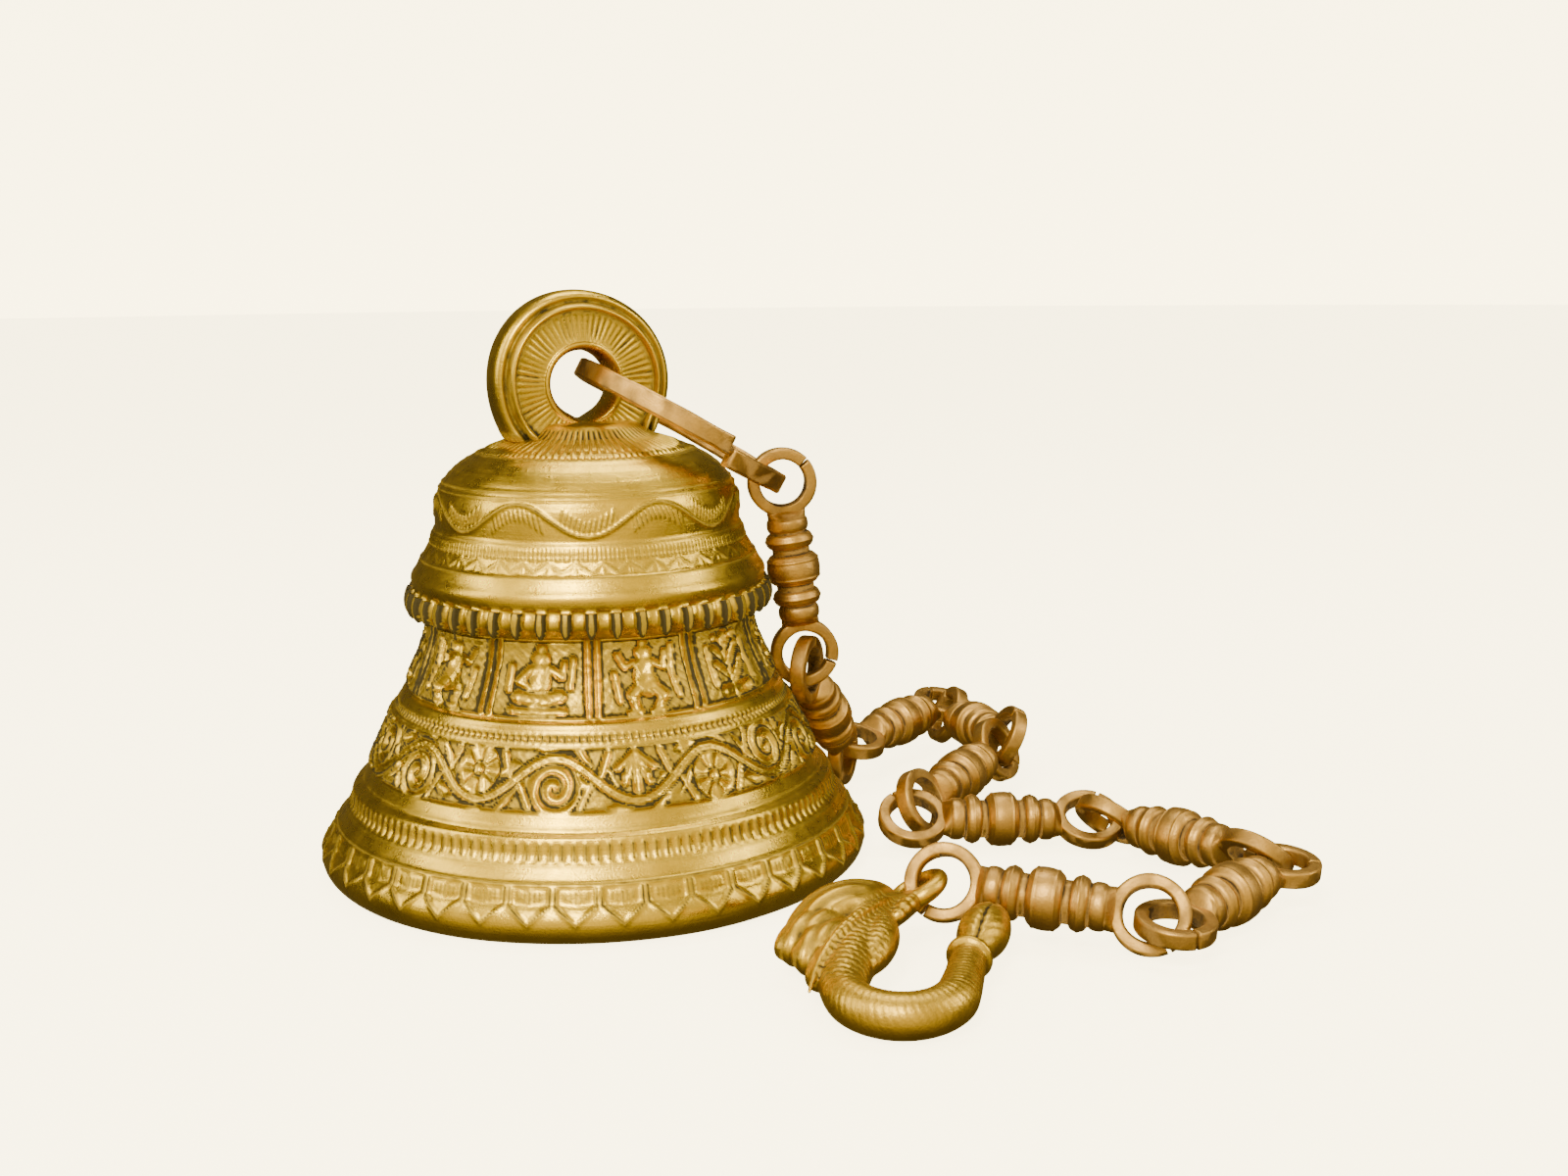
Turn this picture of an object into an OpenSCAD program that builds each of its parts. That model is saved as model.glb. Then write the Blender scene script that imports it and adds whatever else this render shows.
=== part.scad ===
// Hanging temple bell of cast brass with a crown loop, an open ring, a chain of nine
// baluster links and a crested hook. The bell stands on its rim with the chain laid
// beside it. Millimetres, +Z up, origin on the bell's axis in the plane of the rim.

/* [Bell] */
// Radius of the bell at its widest, just above the rim
rim_r = 65; // [64:0.5:66]
// Thickness of the bell's wall
wall_t = 3.5; // [3:0.25:4]
// Height of the flat seat on top of the crown
crown_z = 102; // [101.5:0.25:103]
// Radius of the flat seat on top of the crown
seat_r = 13; // [11:0.5:15]
// Blocks in the ring below the shoulder
block_count = 48; // [40:1:56]

/* [Crown loop] */
// Radius of the loop's outer rim
loop_r = 21.5; // [21:0.5:22]
// Radius of the loop's hole
loop_hole_r = 7.5; // [7:0.1:8]
// Height of the hole's centre above the table
loop_z = 113.5; // [113:0.5:114.5]
// How far the casting puts the loop to the left of the bell's axis
loop_offset = 1.5; // [0:0.5:2]
// Thickness of the loop across its rim
loop_t = 13; // [12:0.5:14]
// Turn of the loop about the bell's axis, in degrees
loop_turn = 20; // [15:1:30]
// Radius of the shank that goes through the crown
shank_r = 4; // [3:0.25:5]

/* [Clapper] */
// Height of the hole in the shank that carries the clapper
eye_z = 86; // [84:1:88]
// Radius of the clapper's ball
ball_r = 10; // [8:0.5:11]
// Height of the ball's centre at rest
ball_z = 15; // [14:0.5:20]
// Radius of the clapper's rod
rod_r = 2; // [1.6:0.1:2.4]

/* [Open ring] */
// Mean radius of the open ring
ring_r = 26.5; // [26:0.1:27]
// Width of its flat bar, along the ring's axis
ring_w = 5.2; // [4.5:0.1:5.5]
// Thickness of its flat bar, across the ring
ring_t = 4; // [3:0.1:4.5]
// How far the two cut ends stand apart along the ring's axis
ring_step = 2.6; // [1:0.1:3]

/* [Chain] */
// Distance between the two ring centres of a link
link_pitch = 43; // [42:0.5:44]
// Mean radius of a link's ring
link_ring_r = 7; // [6.8:0.1:7.2]
// Width of a link's ring band, across the ring
link_band = 2.9; // [2.6:0.1:3]
// Thickness of a link's ring, along its axis
link_t = 3.8; // [3.4:0.1:4]
// Radius of a link's middle bead
bead_r = 6.75; // [6:0.25:7]

/* [Hook] */
// Radius of the hook's bar at the bend
hook_bar_r = 4.4; // [4.3:0.1:4.5]
// Mean radius of the bend
hook_bend_r = 11; // [10.8:0.1:11.2]
// Distance from the eye's centre to the bend's centre
hook_reach = 42.5; // [42:0.5:44]

/* [Hidden] */
brass = "#c9a03c";
old_brass = "#a8843a";
bronze = "#b98a4e";

// The crown's inside is flat around the shank
crown_under_z = crown_z - 5;
washer_t = 1.6;
washer_r = 8;
shank_gap = 0.05;
shank_eye_r = 5.5;
shank_eye_t = 4.6;
shank_hole_r = 2.6;

// The clapper's ring hangs in the shank's hole, and the rod's eye hangs in the ring
wire_r = 1.3;
clapper_ring_r = 6;
rod_eye_r = 3.9;
rod_eye_wire_r = 1.5;
rod_pivot_z = eye_z - 2 * clapper_ring_r;
rod_end_z = ball_z - 3;

// The open ring slopes down to the right over the shoulder, and its cut faces the front
ring_centre = [22.8, 8, 102.5];
ring_slope = 30;
ring_pitch = 3;
ring_cut_at = -68;
ring_gap = 3;

// How each link lies: its centre, then its roll, slope and heading in degrees
LINKS = [
    [49.8, 11, 66.5, 90, 83, 1],
    [59.5, 24.5, 26, 91, 44, 65],
    [85.7, 62.6, 12.7, 14, -2, 45],
    [105.2, 52.7, 13.5, 62, -6, -81],
    [92.5, 12, 11.5, -64, 4, -128],
    [97.5, -11, 7, 30, 2, -3],
    [134.7, -33.2, 8.1, -45, -3, -58],
    [133.2, -70.6, 7.8, -6, 2, -141],
    [92.3, -73.1, 9.75, -63, -4, 157]
];
// Where the two rings of a link are cut, as angles from the link's outward direction
LINK_CUTS = [65, -55];
link_cut_w = 0.7;
link_body_half = 13;

// How the hook lies: its eye's centre, then its roll, slope and heading in degrees
hook_at = [67, -63.6, 9.4];
hook_lie = [-1, 5, -110];
hook_eye_r = 5.4;
hook_eye_wire_r = 1.8;

// Points on a quarter of a circle in a profile, from angle a to angle b
function arc_points(x, y, r, a, b, n) =
    [for (i = [0 : n]) let (t = a + (b - a) * i / n) [x + r * cos(t), y + r * sin(t)]];

// The outside of the bell from the rim up: rounded lip, flared skirt with its bands,
// waist, shoulder with the block ring, and the domed crown
function bell_outside() = concat(
    [[rim_r - 4, 0]],
    arc_points(rim_r - 5, 5, 5, -65, 60, 8),
    [
        [rim_r - 3.6, 12.4], [rim_r - 4.4, 12.8], [rim_r - 5, 14], [57, 18], [56.4, 21.6],
        [54.6, 22.2], [52.6, 26], [51.2, 30], [49.2, 34], [47.2, 38], [45.4, 40.8],
        [45.3, 41.6], [44.6, 43.2], [43, 43.6], [42.2, 46], [40.3, 50], [38.6, 54], [37.5, 58],
        [37.4, 60.6]
    ],
    arc_points(38, 64.2, 3.4, -80, 45, 6),
    arc_points(39.3, 69.4, 2.4, -30, 70, 5),
    [
        [40.2, 72.6], [38.2, 75], [36.8, 77.8], [36.4, 80], [35.6, 80.6], [35.5, 84],
        [35.2, 87.5], [34.2, 90.5], [32, 93.4], [28.6, 96.3], [24, 98.6], [18, 100.6],
        [seat_r, crown_z]
    ]
);
function bell_inside() = [
    [0, crown_under_z], [washer_r + 3, crown_under_z], [22, 100.4 - wall_t * 1.4],
    [28, 96.4 - wall_t * 1.4], [35 - wall_t, 86], [36 - wall_t, 78], [38.4 - wall_t, 68],
    [37.4 - wall_t, 58], [42 - wall_t, 46], [48.8 - wall_t, 34], [54.8 - wall_t, 21],
    [59.5 - wall_t, 13], [rim_r - 8, 4], [rim_r - 8.5, 0]
];

// A rounded-corner rectangle profile centred on (x, 0)
module band_section(x, w, t, c = 0.7) {
    polygon([
        [x - w / 2 + c, -t / 2], [x + w / 2 - c, -t / 2], [x + w / 2, c - t / 2],
        [x + w / 2, t / 2 - c], [x + w / 2 - c, t / 2], [x - w / 2 + c, t / 2],
        [x - w / 2, t / 2 - c], [x - w / 2, c - t / 2]
    ]);
}

module bell_shell() {
    block_z = 64.2;
    slot_w = 1.6;
    color(brass)
    difference() {
        rotate_extrude($fn = 96)
            polygon(concat(bell_outside(), [[0, crown_z]], bell_inside()));
        translate([0, 0, crown_under_z - 1])
            cylinder(r = shank_r, h = 8, $fn = 48);
        for (i = [0 : block_count - 1])
            rotate([0, 0, i * 360 / block_count])
                translate([40.4, -slot_w / 2, block_z - 2.6])
                    cube([4, slot_w, 5.2]);
    }
}

// Half of the loop's section: a recessed face between the hole's lip and a thin ridge,
// a groove outside the ridge, and a rounded rim
module loop_section() {
    h = loop_t / 2;
    polygon([
        [loop_hole_r, -h + 3], [loop_hole_r + 1, -h + 1.6], [loop_hole_r + 2.5, -h + 1.2],
        [loop_r - 4.8, -h + 1.2], [loop_r - 4.2, -h], [loop_r - 3.4, -h], [loop_r - 2.8, -h + 1.6],
        [loop_r - 2, -h + 1.8], [loop_r - 0.7, -h + 2.8], [loop_r, -h + 4.6],
        [loop_r, h - 4.6], [loop_r - 0.7, h - 2.8], [loop_r - 2, h - 1.8],
        [loop_r - 2.8, h - 1.6], [loop_r - 3.4, h], [loop_r - 4.2, h], [loop_r - 4.8, h - 1.2],
        [loop_hole_r + 2.5, h - 1.2], [loop_hole_r + 1, h - 1.6], [loop_hole_r, h - 3]
    ]);
}

// The outline that draws the loop's hole out to a point at its foot
module hole_foot() {
    side_r = loop_hole_r - 0.3;
    point = loop_hole_r + 1.2;
    a = acos(side_r / point);
    polygon([
        [0, 0], [-side_r * sin(a), -side_r * cos(a)], [0, -point], [side_r * sin(a), -side_r * cos(a)]
    ]);
}

module crown_loop() {
    color(brass) {
        difference() {
            union() {
                intersection() {
                    translate([-loop_offset, 0, loop_z])
                        rotate([90, 0, loop_turn])
                            rotate_extrude($fn = 96) loop_section();
                    translate([-50, -50, crown_z]) cube([100, 100, 50]);
                }
                translate([0, 0, crown_z]) cylinder(r1 = seat_r, r2 = seat_r - 3, h = 2.4, $fn = 64);
            }
            translate([-loop_offset, 0, loop_z])
                rotate([90, 0, loop_turn])
                    translate([0, 0, -loop_t])
                        linear_extrude(2 * loop_t) hole_foot();
        }
        difference() {
            union() {
                translate([0, 0, eye_z])
                    cylinder(r = shank_r - shank_gap, h = crown_z - eye_z + 1, $fn = 48);
                translate([0, shank_eye_t / 2, eye_z])
                    rotate([90, 0, 0]) cylinder(r = shank_eye_r, h = shank_eye_t, $fn = 48);
            }
            translate([0, 10, eye_z]) rotate([90, 0, 0]) cylinder(r = shank_hole_r, h = 20, $fn = 48);
        }
    }
}

// The shank is burred over this washer
module crown_washer() {
    color(old_brass)
    translate([0, 0, crown_under_z - washer_t])
        difference() {
            cylinder(r = washer_r, h = washer_t, $fn = 48);
            translate([0, 0, -1]) cylinder(r = shank_r, h = washer_t + 2, $fn = 48);
        }
}

module clapper_ring() {
    color(old_brass)
    translate([0, 0, eye_z - clapper_ring_r])
        rotate([0, 90, 0])
            torus(clapper_ring_r, wire_r);
}

// A plain round-section ring about +Z
module torus(mean_r, section_r) {
    rotate_extrude($fn = 64) translate([mean_r, 0]) circle(r = section_r, $fn = 32);
}

module clapper_rod() {
    top_z = rod_pivot_z - rod_eye_r;
    color(old_brass)
    union() {
        translate([0, 0, rod_pivot_z]) rotate([90, 0, 0]) torus(rod_eye_r, rod_eye_wire_r);
        translate([0, 0, rod_end_z]) cylinder(r = rod_r, h = top_z - rod_end_z, $fn = 32);
    }
}

module clapper_ball() {
    color(brass)
    difference() {
        translate([0, 0, ball_z])
            rotate_extrude($fn = 64)
                polygon(concat(
                    [[0, -ball_r]],
                    arc_points(0, 0, ball_r, -85, -8, 10),
                    [[ball_r + 0.3, -1], [ball_r + 0.3, 1]],
                    arc_points(0, 0, ball_r, 8, 68, 8),
                    [[3.2, ball_r + 2], [0, ball_r + 2]]
                ));
        translate([0, 0, rod_end_z]) cylinder(r = rod_r, h = 30, $fn = 32);
    }
}

// Half of the open ring, tilted about the tangent at the point that faces the cut. The
// halves run a degree into each other there
module ring_half(side) {
    tilt = side * asin(ring_step / 2 / (2 * ring_r));
    lap = 1;
    translate([-ring_r, 0, 0])
        rotate([0, -tilt, 0])
            translate([ring_r, 0, 0])
                rotate([0, 0, side > 0 ? ring_gap / 2 : 180 - lap])
                    rotate_extrude(angle = 180 + lap - ring_gap / 2, $fn = 96)
                        band_section(ring_r, ring_t, ring_w, 0.5);
}

module split_ring() {
    color(bronze)
    translate(ring_centre)
        rotate([-ring_pitch, ring_slope, 0])
            rotate([0, 0, ring_cut_at])
                union() {
                    ring_half(1);
                    ring_half(-1);
                }
}

// A link along X with its rings in the XY plane: ring, two small beads, the big middle
// bead, two small beads, ring
module chain_link() {
    color(bronze)
    difference() {
        union() {
            for (s = [-1, 1])
                translate([s * link_pitch / 2, 0, 0])
                    rotate_extrude($fn = 64) band_section(link_ring_r, link_band, link_t, 0.6);
            rotate([0, 90, 0]) rotate_extrude($fn = 64) link_profile();
        }
        for (s = [0, 1])
            rotate([0, 0, s * 180])
                translate([link_pitch / 2, 0, 0])
                    rotate([0, 0, LINK_CUTS[s]])
                        translate([link_ring_r - link_band, -link_cut_w / 2, -link_t])
                            cube([2 * link_band, link_cut_w, 2 * link_t]);
    }
}

// The beads of a link's body, as a half section about the link's axis
module link_profile() {
    function bead(z, r, h, neck) = [
        [neck, z - h / 2], [r - 0.6, z - h / 2 + 0.4], [r, z - h / 4], [r, z + h / 4],
        [r - 0.6, z + h / 2 - 0.4], [neck, z + h / 2]
    ];
    neck_r = 4.2;
    end = link_body_half;
    polygon(concat(
        [[0, -end - 1], [2.6, -end - 1], [3.6, -end]],
        bead(-11, 4.7, 2.8, 4), bead(-7.1, 5.4, 3.2, neck_r), bead(0, bead_r, 6.4, neck_r),
        bead(7.1, 5.4, 3.2, neck_r), bead(11, 4.7, 2.8, 4),
        [[3.6, end], [2.6, end + 1], [0, end + 1]]
    ));
}

module place_link(i) {
    lie = LINKS[i - 1];
    translate([lie[0], lie[1], lie[2]])
        rotate([lie[3], lie[4], lie[5]])
            chain_link();
}

// A pointed pod along X, from 0 to its length
module pod(length, r) {
    rotate([0, 90, 0])
        rotate_extrude($fn = 48)
            polygon(concat(
                [[0, 0]],
                [for (i = [1 : 11]) [r * pow(sin(180 * i / 12), 0.7), length * i / 12]],
                [[0, length]]
            ));
}

// The hook along X from its eye: neck and shank, round bend, arm with a bud at its tip,
// the crest that lies against the shank's outer side and a swelling on its inner side
module hook() {
    shank_y = -7.2;
    arm_y = shank_y + 2 * hook_bend_r;
    eye_lean = 60;
    // The straight bars end just inside the bend
    end_r = hook_bar_r - 0.3;
    color(brass)
    translate(hook_at)
        rotate(hook_lie)
            union() {
                rotate([90 - eye_lean, 0, 0]) torus(hook_eye_r, hook_eye_wire_r);
                translate([hook_eye_r, 0, 0])
                    rotate([0, 90, -30]) cylinder(r1 = 2.4, r2 = 4, h = 12, $fn = 48);
                translate([14, shank_y + 1, 0])
                    rotate([0, 90, -2]) cylinder(r1 = 4.6, r2 = end_r, h = hook_reach - 13.4, $fn = 48);
                translate([hook_reach, shank_y + hook_bend_r, 0])
                    rotate([0, 0, -90])
                        rotate_extrude(angle = 180, $fn = 96)
                            translate([hook_bend_r, 0]) circle(r = hook_bar_r, $fn = 48);
                translate([hook_reach + 0.5, arm_y, 0])
                    rotate([0, -90, 0]) cylinder(r1 = end_r, r2 = 3.6, h = 17, $fn = 48);
                translate([28, arm_y, 0]) rotate([0, 0, 173]) pod(23, 5.2);
                translate([6, shank_y + 2.5, 0]) rotate([0, 0, -35]) pod(29, 7.2);
                translate([22, shank_y - 7.5, -0.3]) rotate([0, 0, -62]) pod(11, 4.2);
                translate([20, shank_y - 1.5, 0.2]) rotate([0, 0, -32]) pod(18, 5);
                translate([29, shank_y - 1.5, 0]) rotate([0, 0, -14]) pod(16, 4);
                translate([19, shank_y + 3.6, 0.4]) pod(17, 3.7);
            }
}

bell_shell();
crown_loop();
crown_washer();
clapper_ring();
clapper_rod();
clapper_ball();
split_ring();
place_link(1);  // chain_link_1
place_link(2);  // chain_link_2
place_link(3);  // chain_link_3
place_link(4);  // chain_link_4
place_link(5);  // chain_link_5
place_link(6);  // chain_link_6
place_link(7);  // chain_link_7
place_link(8);  // chain_link_8
place_link(9);  // chain_link_9
hook();
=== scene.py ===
"""A cast-brass hanging bell standing on its rim, with its open ring, chain of nine baluster
links and crested hook laid beside it. Every shape is made here in millimetres and scaled
to the frame's metres."""
import math

import bmesh
import bpy
import numpy as np
from mathutils import Euler, Matrix, Vector


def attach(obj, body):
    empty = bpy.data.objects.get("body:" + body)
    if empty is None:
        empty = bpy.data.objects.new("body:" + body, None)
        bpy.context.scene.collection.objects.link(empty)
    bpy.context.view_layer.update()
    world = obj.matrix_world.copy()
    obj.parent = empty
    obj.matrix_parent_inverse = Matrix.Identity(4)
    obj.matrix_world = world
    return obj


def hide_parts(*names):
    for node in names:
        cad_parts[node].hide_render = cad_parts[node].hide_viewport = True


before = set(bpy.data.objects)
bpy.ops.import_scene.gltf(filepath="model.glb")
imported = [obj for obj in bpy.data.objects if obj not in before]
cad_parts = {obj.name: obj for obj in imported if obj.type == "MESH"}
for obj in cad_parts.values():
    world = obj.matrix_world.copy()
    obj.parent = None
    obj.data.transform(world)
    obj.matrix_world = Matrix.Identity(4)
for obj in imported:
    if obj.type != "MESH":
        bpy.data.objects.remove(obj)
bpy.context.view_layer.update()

MM = 0.001
TAU = 2 * math.pi


# ---------------------------------------------------------------- small helpers

def soft(x, low, high):
    """0 below low, 1 above high, smooth between."""
    t = np.clip((x - low) / (high - low), 0, 1)
    return t * t * (3 - 2 * t)


def within(x, low, high, edge):
    """1 between low and high, falling to 0 over an edge of that width."""
    return soft(x, low - edge, low + edge) * (1 - soft(x, high - edge, high + edge))


def line(distance, width):
    """A smooth ridge or groove of that half width along distance 0."""
    return np.exp(-((distance / width) ** 2))


def cell(turn, count):
    """Where an angle lies in its repeat, from -0.5 to 0.5."""
    return turn * count % 1 - 0.5


def limb(x, y, start, end, radius):
    """Height, from 0 to 1, of a rounded bar drawn from start to end."""
    (ax, ay), (bx, by) = start, end
    dx, dy = bx - ax, by - ay
    length = dx * dx + dy * dy
    t = np.clip(((x - ax) * dx + (y - ay) * dy) / max(length, 1e-9), 0, 1)
    gap = np.hypot(x - ax - t * dx, y - ay - t * dy) / radius
    return np.sqrt(np.clip(1 - gap * gap, 0, 1))


def waves(x, y, z, size):
    """A smooth uneven value, about -1 to 1, with features of that size."""
    total = 0
    for a, b, c, d in ((1.0, 0.7, -0.4, 0.3), (-0.6, 1.1, 0.5, 1.9), (0.5, -0.4, 1.2, 4.1),
                       (1.7, 1.3, 0.9, 2.2), (-1.5, 0.8, -1.9, 5.3)):
        total = total + np.sin((a * x + b * y + c * z) / size + d)
    return total / 3.2


def resample(points, spacing):
    """Points along a polyline, spacing(point) apart."""
    points = np.asarray(points, float)
    steps = np.hypot(*np.diff(points, axis=0).T)
    along = np.concatenate([[0], np.cumsum(steps)])
    fine = np.arange(0, along[-1], 0.05)
    path = np.stack([np.interp(fine, along, points[:, k]) for k in (0, 1)], 1)
    kept, last = [0], 0.0
    for i, s in enumerate(fine):
        if s - last >= spacing(path[i]):
            kept.append(i)
            last = s
    return path[kept]


def arc(x, y, r, start, end, steps):
    """Points on an arc, angles in degrees."""
    turns = np.radians(np.linspace(start, end, steps + 1))
    return [(x + r * math.cos(t), y + r * math.sin(t)) for t in turns]


def smooth_curve(points, count):
    """count points on a Catmull-Rom curve through rows of any width, ends included."""
    p = np.asarray(points, float)
    p = np.vstack([2 * p[0] - p[1], p, 2 * p[-1] - p[-2]])
    spans = len(p) - 3
    at = np.linspace(0, spans, count)
    i = np.minimum(at.astype(int), spans - 1)
    t = (at - i)[:, None]
    a, b, c, d = p[i], p[i + 1], p[i + 2], p[i + 3]
    return 0.5 * (2 * b + (c - a) * t + (2 * a - 5 * b + 4 * c - d) * t ** 2
                  + (3 * b - a - 3 * c + d) * t ** 3)


# ---------------------------------------------------------------- meshes

def grid_faces(rows, columns, wrap_rows, wrap_columns, start=0):
    """Quads of a grid of rows by columns vertices."""
    i = np.arange(rows if wrap_rows else rows - 1)
    j = np.arange(columns if wrap_columns else columns - 1)
    i, j = np.meshgrid(i, j, indexing="ij")
    i2, j2 = (i + 1) % rows, (j + 1) % columns
    quads = np.stack([i * columns + j, i * columns + j2, i2 * columns + j2, i2 * columns + j], -1)
    return quads.reshape(-1, 4) + start


class Shape:
    """Closed shells gathered into one mesh, with a patina value at each vertex."""

    def __init__(self):
        self.points, self.faces, self.patina, self.count = [], [], [], 0

    def grid(self, points, patina=0.0, wrap_rows=False, wrap_columns=True, caps=False):
        """Adds a grid of points[row, column], with flat fans over its end rows if asked."""
        rows, columns = points.shape[:2]
        self.faces += grid_faces(rows, columns, wrap_rows, wrap_columns, self.count).tolist()
        flat = points.reshape(-1, 3)
        self.points.append(flat)
        self.patina.append(np.broadcast_to(patina, (rows, columns)).reshape(-1))
        base = self.count
        self.count += len(flat)
        if caps:
            for row, order in ((0, 1), (rows - 1, -1)):
                ring = [base + row * columns + j for j in range(columns)]
                centre = points[row].mean(0)
                self.points.append(centre[None])
                self.patina.append(np.array([0.35]))
                hub = self.count
                self.count += 1
                for j in range(columns):
                    pair = [ring[j], ring[(j + 1) % columns]][::order]
                    self.faces.append([pair[1], pair[0], hub])
        return self

    def mesh(self, name):
        mesh = bpy.data.meshes.new(name)
        points = np.concatenate(self.points) * MM
        mesh.from_pydata(points.tolist(), [], self.faces)
        mesh.validate()
        put_patina(mesh, np.concatenate(self.patina))
        mesh.shade_smooth()
        return mesh

    def object(self, name):
        return new_object(name, self.mesh(name))


def put_patina(mesh, values):
    layer = mesh.attributes.get("patina") or mesh.attributes.new("patina", "FLOAT", "POINT")
    layer.data.foreach_set("value", np.clip(values, 0, 1).astype(np.float32))


def new_object(name, mesh):
    piece = bpy.data.objects.new(name, mesh)
    bpy.context.scene.collection.objects.link(piece)
    return piece


def outward(piece):
    """Turns every face of a closed mesh to the outside."""
    bm = bmesh.new()
    bm.from_mesh(piece.data)
    bmesh.ops.recalc_face_normals(bm, faces=bm.faces)
    bm.to_mesh(piece.data)
    bm.free()
    piece.data.shade_smooth()


def tube(path, radii, around=24, squash=1.0, up=(0, 0, 1)):
    """A bar along path whose section is a circle, or an ellipse flattened along up."""
    path = np.asarray(path, float)
    radii = np.broadcast_to(radii, len(path))
    ahead = np.gradient(path, axis=0)
    ahead /= np.linalg.norm(ahead, axis=1, keepdims=True)
    side = np.cross(ahead, np.asarray(up, float))
    side /= np.maximum(np.linalg.norm(side, axis=1, keepdims=True), 1e-9)
    rise = np.cross(side, ahead)
    t = np.arange(around) / around * TAU
    ring = np.cos(t)[None, :, None] * side[:, None] + squash * np.sin(t)[None, :, None] * rise[:, None]
    return path[:, None] + radii[:, None, None] * ring


def lathe(profile, around=96):
    """A surface of revolution about Z from rows of (radius, height)."""
    profile = np.asarray(profile, float)
    t = np.arange(around) / around * TAU
    r, z = profile[:, :1], profile[:, 1:]
    return np.stack([r * np.cos(t), r * np.sin(t), z * np.ones_like(t)], -1)


def rounded_box(width, height, corner, steps):
    """A closed outline of a rounded rectangle, anticlockwise."""
    out = []
    for sx, sy, start in ((1, 1, 0), (-1, 1, 90), (-1, -1, 180), (1, -1, 270)):
        out += arc(sx * (width / 2 - corner), sy * (height / 2 - corner), corner, start, start + 90, steps)
    return np.array(out)


def remeshed(piece, voxel, smooth_turns):
    """Welds a piece's shells into one skin of voxel-sized faces and eases it."""
    wrap = piece.modifiers.new("weld", "REMESH")
    wrap.mode = "VOXEL"
    wrap.voxel_size = voxel * MM
    ease = piece.modifiers.new("ease", "SMOOTH")
    ease.factor = 0.5
    ease.iterations = smooth_turns
    graph = bpy.context.evaluated_depsgraph_get()
    mesh = bpy.data.meshes.new_from_object(piece.evaluated_get(graph))
    piece.modifiers.clear()
    piece.data = mesh
    mesh.shade_smooth()
    return mesh


def coordinates(mesh):
    """(points, normals, edges) of a mesh, points in millimetres."""
    n = len(mesh.vertices)
    points, normals = np.empty(n * 3), np.empty(n * 3)
    mesh.vertices.foreach_get("co", points)
    mesh.vertices.foreach_get("normal", normals)
    edges = np.empty(len(mesh.edges) * 2, int)
    mesh.edges.foreach_get("vertices", edges)
    return points.reshape(-1, 3) / MM, normals.reshape(-1, 3), edges.reshape(-1, 2)


def spread(values, edges, turns):
    """Averages a value over neighbouring vertices."""
    reach = np.bincount(edges.ravel(), minlength=len(values))
    for _ in range(turns):
        total = np.bincount(edges[:, 0], values[edges[:, 1]], len(values))
        total += np.bincount(edges[:, 1], values[edges[:, 0]], len(values))
        values = 0.4 * values + 0.6 * total / np.maximum(reach, 1)
    return values


def hollows(mesh, turns, gain):
    """How far each vertex lies in a hollow, from 0 to 1."""
    points, normals, edges = coordinates(mesh)
    eased = np.stack([spread(points[:, k], edges, turns) for k in range(3)], 1)
    depth = ((eased - points) * normals).sum(1)
    return np.clip(depth * gain, 0, 1)


# ---------------------------------------------------------------- materials

def node(tree, kind, inputs=None, **settings):
    made = tree.nodes.new(kind)
    for key, value in settings.items():
        setattr(made, key, value)
    for key, value in (inputs or {}).items():
        if isinstance(value, bpy.types.NodeSocket):
            tree.links.new(value, made.inputs[key])
        else:
            made.inputs[key].default_value = value
    return made


def noise(tree, where, scale, detail=4.0, rough=0.55):
    made = node(tree, "ShaderNodeTexNoise", {
        "Vector": where, "Scale": scale, "Detail": detail, "Roughness": rough})
    return made.outputs["Fac"]


def band(tree, value, low, high, out_low=0.0, out_high=1.0):
    """Maps low..high to out_low..out_high, held at the ends."""
    made = node(tree, "ShaderNodeMapRange", {"Value": value, "From Min": low, "From Max": high,
                                             "To Min": out_low, "To Max": out_high})
    return made.outputs["Result"]


def math_of(tree, operation, a, b):
    made = node(tree, "ShaderNodeMath", {0: a, 1: b}, operation=operation)
    return made.outputs[0]


def blend_colour(tree, factor, a, b):
    made = node(tree, "ShaderNodeMix", data_type="RGBA")
    for socket, value in ((0, factor), (6, a), (7, b)):
        if isinstance(value, bpy.types.NodeSocket):
            tree.links.new(value, made.inputs[socket])
        else:
            made.inputs[socket].default_value = value
    return made.outputs[2]


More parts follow.
